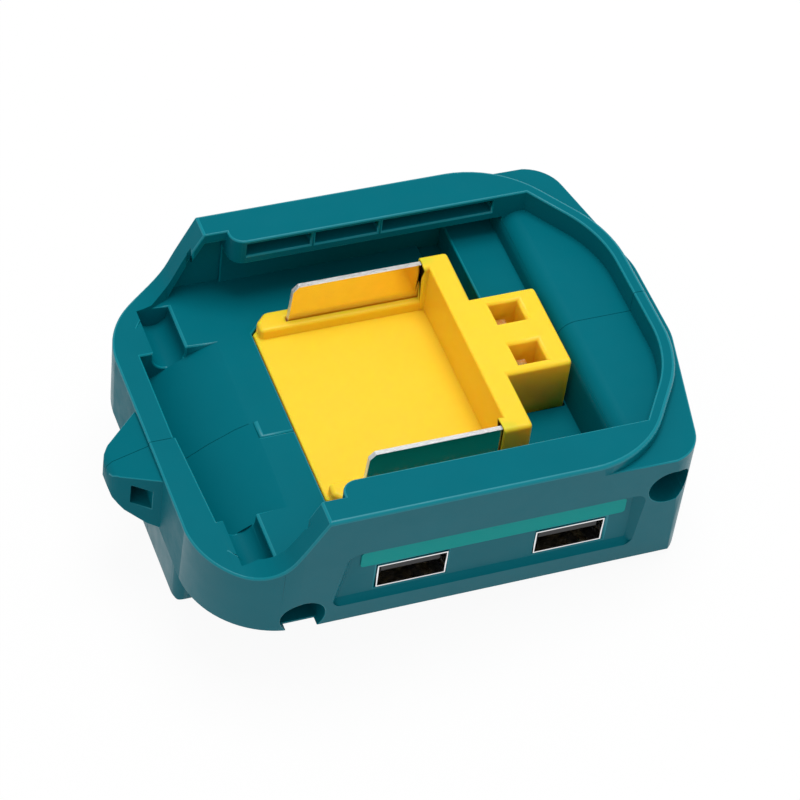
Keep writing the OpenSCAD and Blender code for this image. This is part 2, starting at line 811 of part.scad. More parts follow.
// Hole in the deck that the terminal block fills, and in the underside for button and lamp
module seats() {
    translate([0, 0, deck_under - cut])
        linear_extrude(height = deck_t + 2 * cut)
            polygon(tray_outline(block_fit));
    block([x_bar, -block_w / 2 - block_fit, deck_under - cut],
        [x_signal + block_fit, block_w / 2 + block_fit, deck_z + cut]);
    block([x_bar, -signal_w / 2 - block_fit, deck_under - cut],
        [x_block + block_fit, signal_w / 2 + block_fit, deck_z + cut]);
    translate([button_x, 0, -cut])
        cylinder(h = wall + 2 * cut, d = button_d + 2 * button_fit);
    block([lens_x - lens_half_x - seat_fit, -lens_half_y - seat_fit, -bar_h - cut],
        [lens_x + lens_half_x + seat_fit, lens_half_y + seat_fit, lens_in_z + cut]);
}

module screw_bosses() {
    mouth_end = recess_mouth_depth - foot_half_w;
    for (spot = screw_spots) {
        rod_y(spot.x, spot.y, -half_w, mouth_end + recess_wall, recess_mouth_d + 2 * recess_wall);
        rod_y(spot.x, spot.y, -half_w, seat_y + 1, recess_d + 2 * recess_wall);
        rod_y(spot.x, spot.y, seat_y, boss_end_y, screw_d + 2 * recess_wall + 1);
    }
    nose = screw_spots[1];
    block([nose.x - 1, -half_w, nose.y + screw_d / 2 + 1], [nose.x + 1, boss_end_y, shelf_z - 1]);
}

module screw_holes() {
    for (spot = screw_spots) {
        rod_y(spot.x, spot.y, -far, recess_bite - foot_half_w, recess_mouth_d);
        intersection() {
            rod_y(spot.x, spot.y, -far, recess_mouth_depth - foot_half_w, recess_mouth_d);
            block([0, -far, recess_floor], [body_len, 0, far]);
        }
        rod_y(spot.x, spot.y, -far, seat_y, recess_d);
        rod_y(spot.x, spot.y, seat_y - cut, 0, screw_d + 0.5);
        rod_y(spot.x, spot.y, -cut, seat_y + screw_len + 0.5, screw_d + 2 * pilot_fit);
    }
}

// Bosses and ribs on the inside that carry the board, the outlet and the lamp
module inner_carriers() {
    for (x = board_screw_x) {
        translate([x, board_screw_y, wall / 2])
            cylinder(h = board_low - wall / 2, d = board_boss_d);
        translate([x, board_y1 - 4, wall / 2])
            cylinder(h = board_low - wall / 2, d = board_boss_d);
    }
    lean = (panel_top_z - panel_low_z) * tan(panel_lean);
    block([panel_x - panel_len / 2 - lean - wall, panel_y, wall / 2],
        [panel_x + panel_len / 2 + wall, panel_y + 1.6, deck_under + cut / 2]);
    for (side = [-1, 1]) {
        low = min(side * (bar_w / 2 - wall - 2), side * (bar_w - wall) / 2);
        block([bar_in + wall, low, lamp_board_z + lamp_board_t + seat_fit / 2],
            [bar_len - 1, low + wall / 2 + 2, wall + 0.5]);
    }
}

module board_screw_holes() {
    for (x = board_screw_x)
        translate([x, board_screw_y, board_top - board_screw_len])
            cylinder(h = board_screw_len, d = board_screw_d + 2 * pilot_fit);
}

module housing() {
    difference() {
        union() {
            difference() {
                union() {
                    body_outer();
                    lug();
                    lamp_bar();
                }
                difference() {
                    main_cavity();
                    trough_skin();
                }
                lamp_cavity();
            }
            intersection() {
                screw_bosses();
                body_outer();
            }
            inner_carriers();
        }
        difference() {
            battery_bay();
            outlet_pad();
        }
        outlet_hollow();
        trough();
        pockets();
        lip_slots();
        port_panel();
        port_holes();
        seats();
        screw_holes();
        board_screw_holes();
        strap_hole();
    }
}

// The tongue on the deck where the parting line jogs to the front
module deck_tongue(grow) {
    block([x_trough - grow, -jog_w - grow, deck_under - cut], [x_tray + cut, cut, deck_z + cut]);
}

module front_shell() {
    color(teal)
        place()
            difference() {
                housing();
                block([-far, -seam / 2, -far], [far, far, far]);
                deck_tongue(seam);
            }
}

module rear_shell() {
    color(teal)
        place()
            intersection() {
                housing();
                union() {
                    block([-far, seam / 2, -far], [far, far, far]);
                    deck_tongue(0);
                }
            }
}

// Terminal block
module block_flanges() {
    low = deck_under - 1.4;
    high = deck_under - 0.05;
    block([x_tray - 2, -14, low], [x_tray + 3, 14, high]);
    block([x_tray + 0.1, -14, low], [x_tray + 3, 14, deck_z - tray_t / 2]);
    block([x_block - 3, -7, low], [x_block + 1.5, 7, high]);
}

module block_slots() {
    for (side = [-1, 1]) {
        y = side * blade_pitch / 2;
        block([x_bar - blade_len - seat_fit / 2, y - blade_t / 2 - seat_fit / 2, deck_z - 0.4],
            [x_bar + 1.5 + seat_fit, y + blade_t / 2 + seat_fit / 2, blade_z + seat_fit]);
        block([panel_x - tail_w / 2 - seat_fit, y - blade_t / 2 - seat_fit / 2, 0],
            [panel_x + tail_w / 2 + seat_fit, y + blade_t / 2 + seat_fit / 2, deck_z]);
    }
}

module signal_holes() {
    half_t = leaf_t / 2 + seat_fit;
    half_w = leaf_w / 2 + seat_fit;
    for (side = [-1, 1]) {
        y = side * signal_pitch / 2;
        block([x_tower - signal_hole_l / 2, y - signal_hole_w / 2, block_z - signal_hole_d],
            [x_tower + signal_hole_l / 2, y + signal_hole_w / 2, block_z + cut]);
        block([x_tower - half_t, y - half_w, 0],
            [x_tower + half_t, y + half_w, block_z - signal_hole_d + cut]);
    }
}

module terminal_block() {
    half = block_w / 2;
    low = deck_z - tray_t;
    color(yellow)
        place()
            difference() {
                union() {
                    translate([0, 0, low])
                        linear_extrude(height = tray_t)
                            polygon(tray_outline(0));
                    block([x_bar - cut, -half, low], [x_signal, half, deck_z]);
                    block([x_bar, -half, low], [x_signal, half, block_z]);
                    block([x_bar, -signal_w / 2, low - 1.5], [x_block, signal_w / 2, block_z]);
                    for (side = [-1, 1]) {
                        ledge = min(side * tray_w / 2, side * (tray_w / 2 - ledge_w));
                        post = min(side * half, side * (half - ledge_w + 1));
                        intersection() {
                            block([x_tray + 0.8, ledge, low], [x_bar, ledge + ledge_w, deck_z + ledge_h]);
                            linear_extrude(height = block_z)
                                polygon(tray_outline(0));
                        }
                        block([x_bar - post_t, post, low], [x_signal, post + ledge_w - 1, block_z]);
                    }
                    block_flanges();
                }
                block_slots();
                signal_holes();
            }
}

module blade(side) {
    front = x_bar - blade_len;
    low = deck_z - 0.4 + seat_fit / 2;
    nick = 1.2;
    color(steel)
        place()
            translate([0, side * blade_pitch / 2, 0])
                along_y(blade_t)
                    polygon([[front, low], [panel_x - tail_w / 2, low], [panel_x - tail_w / 2, board_low],
                        [panel_x + tail_w / 2, board_low], [panel_x + tail_w / 2, low], [x_bar + 1.5, low],
                        [x_bar + 1.5, blade_z], [front + nick * 1.4, blade_z],
                        [front + nick * 0.5, blade_z - nick]]);
}

module positive_blade() {
    blade(1);
}

module negative_blade() {
    blade(-1);
}

module signal_contacts() {
    top = block_z - leaf_h;
    half = leaf_w / 2;
    bend = x_tower - 4 * leaf_t;
    color(brass)
        place()
            for (side = [-1, 1]) {
                y = side * signal_pitch / 2;
                block([x_tower - leaf_t / 2, y - half, board_low], [x_tower + leaf_t / 2, y + half, top]);
                block([bend, y - half, top - leaf_t], [x_tower + leaf_t / 2, y + half, top]);
                block([bend, y - half, top - leaf_h], [bend + leaf_t, y + half, top]);
            }
}

// Circuit board and what is soldered to it
module main_board() {
    leaf_x = leaf_t / 2 + seat_fit;
    leaf_y = leaf_w / 2 + seat_fit;
    color([0.05, 0.3, 0.14])
        place()
            difference() {
                block([board_x0, board_y0, board_low], [board_x1, board_y1, board_top]);
                for (x = board_screw_x)
                    translate([x, board_screw_y, 0])
                        cylinder(h = body_h, d = board_screw_d + 0.4);
                for (side = [-1, 1]) {
                    y = side * blade_pitch / 2;
                    block([panel_x - tail_w / 2 - seat_fit, y - blade_t / 2 - seat_fit, 0],
                        [panel_x + tail_w / 2 + seat_fit, y + blade_t / 2 + seat_fit, far]);
                    block([x_tower - leaf_x, side * signal_pitch / 2 - leaf_y, 0],
                        [x_tower + leaf_x, side * signal_pitch / 2 + leaf_y, far]);
                }
            }
}

module usb_shell(x) {
    back = usb_front + usb_len;
    color(steel)
        place()
            difference() {
                block([x - usb_w / 2, usb_front, board_top], [x + usb_w / 2, back, board_top + usb_h]);
                block([x - usb_w / 2 + usb_t, usb_front - cut, board_top + usb_t],
                    [x + usb_w / 2 - usb_t, back - usb_t, board_top + usb_h - usb_t]);
            }
}

module usb_core(x) {
    back = usb_front + usb_len - usb_t - 0.02;
    inner = usb_w / 2 - usb_t - 0.02;
    low = board_top + usb_t + 0.02;
    high = board_top + usb_h - usb_t - 0.02;
    color(black)
        place() {
            block([x - inner, back - usb_len / 4, low], [x + inner, back, high]);
            block([x - inner + 0.7, usb_front + 0.9, tongue_top - tongue_t],
                [x + inner - 0.7, back - 1, tongue_top]);
        }
}

module usb_contacts(x) {
    back = usb_front + usb_len - usb_t - 0.02 - usb_len / 4;
    tongue_low = tongue_top - tongue_t;
    color(brass)
        place()
            for (i = [-1.5 : 1.5])
                block([x + i * pin_pitch - pin_w / 2, usb_front + 1.6, tongue_low - 0.25],
                    [x + i * pin_pitch + pin_w / 2, back, tongue_low]);
}

module usb_left_shell() {
    usb_shell(usb_x[0]);
}

module usb_left_core() {
    usb_core(usb_x[0]);
}

module usb_left_contacts() {
    usb_contacts(usb_x[0]);
}

module usb_right_shell() {
    usb_shell(usb_x[1]);
}

module usb_right_core() {
    usb_core(usb_x[1]);
}

module usb_right_contacts() {
    usb_contacts(usb_x[1]);
}

// Barrel outlet in the rear wall
module dc_jack_body() {
    color(black)
        place()
            difference() {
                union() {
                    block([jack_x - jack_w / 2, jack_low_y, board_top],
                        [jack_x + jack_w / 2, jack_in_y, jack_top]);
                    rod_y(jack_x, jack_z, jack_in_y - cut, jack_face_y, jack_nose_d);
                }
                rod_y(jack_x, jack_z, jack_low_y + 2.4, far, jack_bore);
                rod_y(jack_x, jack_z, jack_low_y - cut, far, jack_pin_d + 2 * pilot_fit);
                block([jack_x - 1, jack_low_y - cut, jack_z - jack_bore / 2 - 0.45],
                    [jack_x + 1, jack_low_y + 7, jack_z - jack_bore / 2 + 0.4]);
            }
}

module dc_jack_pin() {
    back = jack_low_y - 1.6;
    color(steel)
        place() {
            rod_y(jack_x, jack_z, back, jack_face_y - 1.2, jack_pin_d);
            translate([jack_x, jack_face_y - 1.2, jack_z])
                sphere(d = jack_pin_d);
            block([jack_x - 0.6, back, board_top], [jack_x + 0.6, back + 0.5, jack_z]);
        }
}

module dc_jack_spring() {
    z = jack_z - jack_bore / 2;
    back = jack_low_y - 0.5;
    color(brass)
        place() {
            block([jack_x - 0.9, back, z - 0.4], [jack_x + 0.9, jack_low_y + 6.8, z]);
            block([jack_x - 0.9, back, board_top], [jack_x + 0.9, back + 0.4, z]);
        }
}

module label_strip() {
    color([0.02, 0.5, 0.5])
        place()
            translate([panel_x, panel_y, label_z])
                rotate([90, 0, 0])
                    linear_extrude(height = label_t)
                        polygon(rounded(
                            [[-label_len / 2, -label_h / 2], [label_len / 2, -label_h / 2],
                                [label_len / 2, label_h / 2], [-label_len / 2, label_h / 2]],
                            [0.6, 0.6, 0.6, 0.6], 4));
}

// Lamp in the bar under the entry end
module lamp_lens() {
    color([0.93, 0.95, 0.96])
        place() {
            block([lens_x - lens_half_x, -lens_half_y, 0.4 - bar_h],
                [lens_x + lens_half_x, lens_half_y, lens_in_z + lens_t / 2]);
            block([lens_x - flange_half_x, -flange_half_y, lens_in_z],
                [lens_x + flange_half_x, flange_half_y, lens_in_z + lens_t]);
        }
}

module lamp_reflector() {
    color([0.95, 0.95, 0.93])
        place()
            difference() {
                block([lens_x - flange_half_x, -flange_half_y, reflector_z],
                    [lens_x + flange_half_x, flange_half_y, reflector_z + reflector_h]);
                block([lens_x - lens_half_x, -lens_half_y, reflector_z - cut],
                    [lens_x + lens_half_x, lens_half_y, reflector_z + reflector_h + cut]);
            }
}

module lamp_board() {
    out = seat_fit;
    color([0.9, 0.9, 0.88])
        place()
            block([lens_x - flange_half_x - out, -flange_half_y - out, lamp_board_z],
                [lens_x + flange_half_x + out, flange_half_y + out, lamp_board_z + lamp_board_t]);
}

module lamp_leds() {
    pitch = 2 * lens_half_y / led_count;
    color([0.95, 0.87, 0.4])
        place()
            for (i = [0 : led_count - 1])
                translate([lens_x, (i + 0.5) * pitch - lens_half_y, lamp_board_z - led_h / 2])
                    cube([led_w, led_w, led_h], center = true);
}

// One wire through the given points of x and z
module wire(points, y, d) {
    for (i = [0 : len(points) - 2]) {
        a = [points[i].x, y, points[i].y];
        b = [points[i + 1].x, y, points[i + 1].y];
        translate(a)
            rotate([0, atan2(b.x - a.x, b.z - a.z), 0])
                cylinder(h = norm(b - a), d = d);
        if (i > 0)
            translate(a)
                sphere(d = d * 1.1);
    }
}

module lamp_wires() {
    start_z = lamp_board_z + lamp_board_t;
    over_screw = entry_screw_z + (screw_d + 2 * recess_wall + 1) / 2 + wire_d;
    end_x = board_x0 + 1.2;
    route = [[lens_x, start_z], [lens_x, wall + 0.4], [entry_screw_x, over_screw],
        [end_x, over_screw], [end_x, board_top]];
    color([0.75, 0.1, 0.08])
        place()
            for (side = [-1, 1])
                wire(route, side * wire_y, wire_d);
}

// Power button with its switch
module power_button() {
    rim = button_d / 2 + button_fit + 1.1;
    hollow = button_d / 2 - button_skirt;
    flange_z = wall + 0.1;
    color(black)
        place()
            translate([button_x, 0, 0])
                difference() {
                    union() {
                        translate([0, 0, -button_out])
                            cylinder(h = button_out + flange_z + button_flange, d = button_d);
                        translate([0, 0, flange_z])
                            cylinder(h = button_flange, r = rim);
                    }
                    difference() {
                        translate([0, 0, button_floor])
                            cylinder(h = wall + 4, r = hollow);
                        cylinder(h = plunger_z, d = plunger_d);
                    }
                }
}

module switch_body() {
    color([0.15, 0.15, 0.16])
        place()
            difference() {
                block([button_x - switch_w / 2, -switch_w / 2, switch_z],
                    [button_x + switch_w / 2, switch_w / 2, board_low]);
                translate([button_x, 0, switch_z - cut])
                    cylinder(h = cut + 0.8 + button_travel, d = plunger_d + 2 * button_fit);
            }
}

module switch_plunger() {
    color([0.7, 0.15, 0.1])
        place()
            translate([button_x, 0, plunger_z])
                cylinder(h = plunger_out + 0.5, d = plunger_d);
}

// Fasteners
module case_screws() {
    color([0.35, 0.35, 0.37])
        place()
            for (spot = screw_spots)
                difference() {
                    union() {
                        rod_y(spot.x, spot.y, seat_y - head_h, seat_y, screw_head_d);
                        rod_y(spot.x, spot.y, seat_y - head_h / 2, seat_y + screw_len, screw_d);
                    }
                    for (turn = [0, 90])
                        translate([spot.x, seat_y - head_h, spot.y])
                            rotate([0, turn, 0])
                                cube([screw_head_d * 0.6, 2, 0.8], center = true);
                }
}

module board_screws() {
    color([0.6, 0.6, 0.62])
        place()
            for (x = board_screw_x)
                translate([x, board_screw_y, board_top])
                    difference() {
                        union() {
                            cylinder(h = 1.3, d = board_screw_d * 1.9);
                            translate([0, 0, 0.3 - board_screw_len])
                                cylinder(h = board_screw_len, d = board_screw_d);
                        }
                        for (turn = [0, 90])
                            rotate([0, 0, turn])
                                translate([0, 0, 1.3])
                                    cube([2.6, 0.6, 1.2], center = true);
                    }
}

// Parts on the board
module inductors() {
    color([0.25, 0.25, 0.27])
        place()
            for (side = [-1, 1])
                translate([x_tray + inductor_w * 0.9, side * inductor_w * 0.7, board_top])
                    difference() {
                        block([-inductor_w / 2, -inductor_w / 2, 0],
                            [inductor_w / 2, inductor_w / 2, inductor_h]);
                        translate([0, 0, inductor_h - 0.4])
                            cylinder(h = cut, d = inductor_w * 0.7);
                    }
}

module capacitors() {
    foot = cap_d / 2 + 0.15;
    color([0.16, 0.18, 0.3])
        place()
            for (i = [-1 : 1])
                translate([x_tray + inductor_w * 1.5 + cap_d * 0.8, i * cap_d * 1.2, board_top]) {
                    block([-foot, -foot, 0], [foot, foot, 0.6]);
                    cylinder(h = cap_h, d = cap_d);
                }
}

module regulator_chips() {
    color(black)
        place()
            for (side = [-1, 1])
                translate([x_tray + inductor_w * 1.5 + cap_d * 1.6 + chip_l, side * chip_l * 1.4, board_top])
                    block([-chip_l / 2, -chip_l * 0.4, 0], [chip_l / 2, chip_l * 0.4, chip_h]);
}

module fuse() {
    y = cap_d * 2.1;
    color([0.85, 0.84, 0.78])
        place()
            translate([x_tray + inductor_w * 1.5 + cap_d, y, board_top])
                block([0, 0, 0], [fuse_l, fuse_l * 0.4, fuse_h]);
}

front_shell();
rear_shell();
terminal_block();
positive_blade();
negative_blade();
signal_contacts();
main_board();
usb_left_shell();
usb_left_core();
usb_left_contacts();
usb_right_shell();
usb_right_core();
usb_right_contacts();
dc_jack_body();
dc_jack_pin();
dc_jack_spring();
label_strip();
lamp_lens();
lamp_reflector();
lamp_board();
lamp_leds();
lamp_wires();
power_button();
switch_body();
switch_plunger();
case_screws();
board_screws();
inductors();
capacitors();
regulator_chips();
fuse();
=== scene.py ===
import math

import bmesh
import bpy
from mathutils import Matrix, Vector
from mathutils.bvhtree import BVHTree


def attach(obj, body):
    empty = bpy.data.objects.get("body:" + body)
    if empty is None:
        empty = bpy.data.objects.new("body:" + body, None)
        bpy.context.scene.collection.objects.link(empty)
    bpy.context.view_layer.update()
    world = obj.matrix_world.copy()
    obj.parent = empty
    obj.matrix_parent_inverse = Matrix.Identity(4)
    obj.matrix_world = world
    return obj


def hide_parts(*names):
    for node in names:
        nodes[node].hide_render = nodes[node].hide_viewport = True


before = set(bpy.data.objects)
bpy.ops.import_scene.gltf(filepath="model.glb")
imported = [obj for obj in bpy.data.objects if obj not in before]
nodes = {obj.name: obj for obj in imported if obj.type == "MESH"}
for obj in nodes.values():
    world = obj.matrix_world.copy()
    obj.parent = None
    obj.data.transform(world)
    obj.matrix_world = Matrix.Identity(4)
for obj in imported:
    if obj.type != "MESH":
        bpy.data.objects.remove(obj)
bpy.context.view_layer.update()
scene = bpy.context.scene

# Lengths are written in millimetres and turned into metres with MM.
MM = 0.001
# Levels of the part in its own frame
FOOT_Z = 12.1
SHOULDER_Z = FOOT_Z + 26.4
ENTRY_X = -43.6
BODY_LEN = 95.0
BAR_LEN = 14.0


# Materials

def start_material(name):
    """A new node material and its principled shader."""
    mat = bpy.data.materials.new(name)
    mat.use_nodes = True
    return mat, mat.node_tree, mat.node_tree.nodes["Principled BSDF"]


def add_node(tree, kind, **inputs):
    """A node of the tree with the given input values; spaces in their names are underscores."""
    node = tree.nodes.new(kind)
    for key, value in inputs.items():
        node.inputs[key.replace("_", " ")].default_value = value
    return node


def noise(tree, size_mm, detail=2.0, roughness=0.5):
    """Noise in the part's frame whose blobs are about size_mm wide."""
    place = tree.nodes.new("ShaderNodeTexCoord")
    tex = add_node(tree, "ShaderNodeTexNoise", Scale=1 / (size_mm * MM), Detail=detail, Roughness=roughness)
    tree.links.new(place.outputs["Object"], tex.inputs["Vector"])
    return tex


def tint(color, factor):
    return tuple(min(1.0, c * factor) for c in color) + (1.0,)


def math_node(tree, operation, first, second):
    """The result of a sum on two values, each a number or another node's output."""
    node = tree.nodes.new("ShaderNodeMath")
    node.operation = operation
    for socket, value in zip(node.inputs, (first, second)):
        if isinstance(value, bpy.types.NodeSocket):
            tree.links.new(value, socket)
        else:
            socket.default_value = value
    return node.outputs[0]


def mix_shaders(tree, share, first, second):
    """Two shaders blended by an output that gives the second one's share."""
    blend = tree.nodes.new("ShaderNodeMixShader")
    tree.links.new(share, blend.inputs["Fac"])
    tree.links.new(first, blend.inputs[1])
    tree.links.new(second, blend.inputs[2])
    return blend.outputs["Shader"]


def vary_color(tree, shader, color, size_mm, spread):
    """The colour, a little lighter and darker in soft blotches."""
    tex = noise(tree, size_mm, 3.0)
    mix = tree.nodes.new("ShaderNodeMix")
    mix.data_type = "RGBA"
    mix.inputs["A"].default_value = tint(color, 1 - spread)
    mix.inputs["B"].default_value = tint(color, 1 + spread)
    tree.links.new(tex.outputs["Fac"], mix.inputs["Factor"])
    tree.links.new(mix.outputs["Result"], shader.inputs["Base Color"])


def vary_roughness(tree, shader, rough, size_mm, spread):
    tex = noise(tree, size_mm)
    span = add_node(tree, "ShaderNodeMapRange", From_Min=0.3, From_Max=0.7)
    span.inputs["To Min"].default_value = rough - spread
    span.inputs["To Max"].default_value = rough + spread
    tree.links.new(tex.outputs["Fac"], span.inputs["Value"])
    tree.links.new(span.outputs["Result"], shader.inputs["Roughness"])


def add_grain(tree, shader, size_mm, depth_mm, strength, stretch=None):
    """Fine relief of the surface; stretch squeezes it along the axes to brush it."""
    tex = noise(tree, size_mm, 3.0, 0.6)
    if stretch:
        place = tex.inputs["Vector"].links[0].from_socket
        squeeze = tree.nodes.new("ShaderNodeMapping")
        squeeze.inputs["Scale"].default_value = stretch
        tree.links.new(place, squeeze.inputs["Vector"])
        tree.links.new(squeeze.outputs["Vector"], tex.inputs["Vector"])
    bump = add_node(tree, "ShaderNodeBump", Strength=strength, Distance=depth_mm * MM)
    tree.links.new(tex.outputs["Fac"], bump.inputs["Height"])
    tree.links.new(bump.outputs["Normal"], shader.inputs["Normal"])


def plastic(name, color, rough=0.45, specular=0.5, grain=(0.8, 0.02, 0.1), blotch=0.04):
    mat, tree, shader = start_material(name)
    shader.inputs["Specular IOR Level"].default_value = specular
    vary_color(tree, shader, color, 9.0, blotch)
    vary_roughness(tree, shader, rough, 3.0, 0.05)
    add_grain(tree, shader, *grain)
    return mat


def metal(name, color, rough=0.28, grain=(0.25, 0.02, 0.25), stretch=None):
    mat, tree, shader = start_material(name)
    shader.inputs["Metallic"].default_value = 1.0
    vary_color(tree, shader, color, 2.5, 0.06)
    vary_roughness(tree, shader, rough, 0.8, 0.05)
    add_grain(tree, shader, *grain, stretch=stretch)
    return mat


def grained_plastic(name, color):
    """Moulded plastic with a fine eroded texture."""
    return plastic(name, color, 0.34, 0.15, (0.3, 0.02, 0.3), 0.06)


def glowing_plastic(name, color):
    """Pigmented plastic that lets some warm light through its edges."""
    mat = plastic(name, color, 0.4, 0.3, (0.9, 0.02, 0.08), 0.02)
    shader = mat.node_tree.nodes["Principled BSDF"]
    shader.inputs["Subsurface Weight"].default_value = 0.6
    shader.inputs["Subsurface Radius"].default_value = (1.0, 0.3, 0.04)
    shader.inputs["Subsurface Scale"].default_value = 3.0 * MM
    return mat


TEAL = (0.0, 0.13, 0.168)
# A lighter teal, painted on the shells' rounded edges as a highlight.
TEAL_PAINTED_HIGHLIGHT = (0.0, 0.2, 0.25)
YELLOW = (1.0, 0.61, 0.025)

housing_smooth = plastic("housing_smooth", TEAL, 0.42, 0.04, (1.2, 0.02, 0.05))
housing_grain = grained_plastic("housing_grain", TEAL)
# The shells' roundings get this lighter, glossier teal: a painted highlight along their edges.
housing_painted_highlight = plastic("housing_painted_highlight", TEAL_PAINTED_HIGHLIGHT, 0.34, 0.25, (1.2, 0.02, 0.05))
yellow_plastic = glowing_plastic("yellow_plastic", YELLOW)
blade_face = metal("blade_face", (0.86, 0.66, 0.40), 0.16, (0.12, 0.01, 0.15))
blade_edge = metal("blade_edge", (0.92, 0.92, 0.92), 0.45, (0.35, 0.3, 1.0))
port_metal = metal("port_metal", (0.86, 0.86, 0.87), 0.2)
contact_metal = metal("contact_metal", (0.83, 0.66, 0.36), 0.25)
screw_steel = metal("screw_steel", (0.45, 0.45, 0.47), 0.35)
port_black = plastic("port_black", (0.012, 0.012, 0.013), 0.35, 0.4)
black_plastic = plastic("black_plastic", (0.02, 0.02, 0.022), 0.42, 0.5, (0.4, 0.04, 0.3))
label_film = plastic("label_film", (0.0, 0.3, 0.285), 0.4, 0.1, (2.0, 0.01, 0.05), 0.02)
board_green = plastic("board_green", (0.02, 0.15, 0.06), 0.3, 0.5, (0.5, 0.03, 0.2), 0.15)
lens_plastic = plastic("lens_plastic", (0.86, 0.88, 0.9), 0.35, 0.5, (0.5, 0.05, 0.4))
white_plastic = plastic("white_plastic", (0.85, 0.85, 0.82), 0.3)
light_chip = plastic("light_chip", (0.9, 0.68, 0.12), 0.4)
wire_red = plastic("wire_red", (0.45, 0.02, 0.015), 0.4)
plunger_red = plastic("plunger_red", (0.4, 0.04, 0.02), 0.4)
ferrite = plastic("ferrite", (0.05, 0.05, 0.052), 0.6, 0.4, (0.5, 0.06, 0.6), 0.12)
can_blue = plastic("can_blue", (0.03, 0.04, 0.1), 0.3)
ceramic = plastic("ceramic", (0.68, 0.65, 0.52), 0.5)

NODE_MATERIALS = {
    "signal_contacts": contact_metal,
    "main_board": board_green,
    "usb_left_core": port_black,
    "usb_right_core": port_black,
    "usb_left_contacts": contact_metal,
    "usb_right_contacts": contact_metal,
    "dc_jack_body": black_plastic,
    "dc_jack_pin": port_metal,
    "dc_jack_spring": contact_metal,
    "label_strip": label_film,
    "lamp_lens": lens_plastic,
    "lamp_reflector": white_plastic,
    "lamp_board": white_plastic,
    "lamp_leds": light_chip,
    "lamp_wires": wire_red,
    "power_button": black_plastic,
    "switch_body": black_plastic,
    "switch_plunger": plunger_red,
    "case_screws": screw_steel,
    "board_screws": screw_steel,
    "inductors": ferrite,
    "capacitors": can_blue,
    "regulator_chips": black_plastic,
    "fuse": ceramic,
}
for name, mat in NODE_MATERIALS.items():
    nodes[name].data.materials.clear()
    nodes[name].data.materials.append(mat)


# Rounded copies of the moulded pieces

def whole_part_tree():
    """One tree of all the solids' faces, for asking what hides what."""
    points, faces = [], []
    for obj in nodes.values():
        start = len(points)
        points.extend(v.co.copy() for v in obj.data.vertices)
        faces.extend([start + i for i in p.vertices] for p in obj.data.polygons)
    return BVHTree.FromPolygons(points, faces)


def sphere_directions(count):
    """Directions spread evenly over a sphere."""
    golden = math.pi * (3 - math.sqrt(5))
    for i in range(count):
        z = 1 - (2 * i + 1) / count
        r = math.sqrt(1 - z * z)
        yield Vector((r * math.cos(golden * i), r * math.sin(golden * i), z))


PART_TREE = whole_part_tree()
DIRECTIONS = list(sphere_directions(80))
# Bends of an edge that get rounded: flatter ones look smooth already, sharper ones are thin lips
LEAST_BEND = math.radians(38)
MOST_BEND = math.radians(115)
# The most of the free width beside an edge, or of its own curve's radius, that its rounding takes
ROOM_SHARE = 0.42
# The smallest rounding worth making, in mm
LEAST_RADIUS = 0.06
# Points nearer than this, in mm, are one, and faces that bend less than this are one
WELD = 0.002
FLAT_BEND = math.radians(0.3)
# How far off a face, in mm, a line that tests what hides it starts
LIFT = 0.05


def is_open(point, normal, least=3):
    """True where a few lines from the point, on its outer side, leave the part without meeting it."""
    start = point + normal * LIFT * MM
    free = 0
    for direction in DIRECTIONS:
        if direction.dot(normal) > 0.1 and PART_TREE.ray_cast(start, direction)[0] is None:
            free += 1
            if free >= least:
                return True
    return False


def middle_of(edge):
    return (edge.verts[0].co + edge.verts[1].co) / 2


def turn_between(edge, other, vert):
    """The change of direction from one edge to the next at their common point."""
    way_in = vert.co - edge.other_vert(vert).co
    way_out = other.other_vert(vert).co - vert.co
    return way_in.angle(way_out, 0.0)


def edge_chains(edges):
    """The edges in groups that run on smoothly into each other."""
    left = set(edges)
    meeting = {}
    for edge in edges:
        for vert in edge.verts:
            meeting.setdefault(vert, []).append(edge)
    while left:
        chain = {left.pop()}
        ends = [(edge, vert) for edge in chain for vert in edge.verts]
        while ends:
            edge, vert = ends.pop()
            others = [e for e in meeting[vert] if e is not edge]
            if len(others) == 1 and others[0] in left and turn_between(edge, others[0], vert) < LEAST_BEND:
                left.remove(others[0])
                chain.add(others[0])
                ends.append((others[0], others[0].other_vert(vert)))
        yield chain


def nearest_on_segment(point, a, b):
    along = b - a
    share = (point - a).dot(along) / max(along.length_squared, 1e-18)
    return a + along * min(1.0, max(0.0, share))


def chain_room(chain):
    """How far, in mm, a chain of edges lies from the other edges of its faces, and how tight it turns."""
    verts = {vert for edge in chain for vert in edge.verts}
    room = 100 * MM
    for edge in chain:
        a, b = (vert.co for vert in edge.verts)
        probes = [a.lerp(b, t) for t in (0.0, 0.25, 0.5, 0.75, 1.0)]
        for face in edge.link_faces:
            for other in face.edges:
                if verts.isdisjoint(other.verts):
                    c, d = (vert.co for vert in other.verts)
                    room = min([room] + [(p - nearest_on_segment(p, c, d)).length for p in probes])
        for vert in edge.verts:
            for other in vert.link_edges:
                if other in chain and other is not edge:
                    turn = turn_between(edge, other, vert)
                    if turn > 0.01:
                        room = min(room, (edge.calc_length() + other.calc_length()) / 2 / turn)
    return room / MM


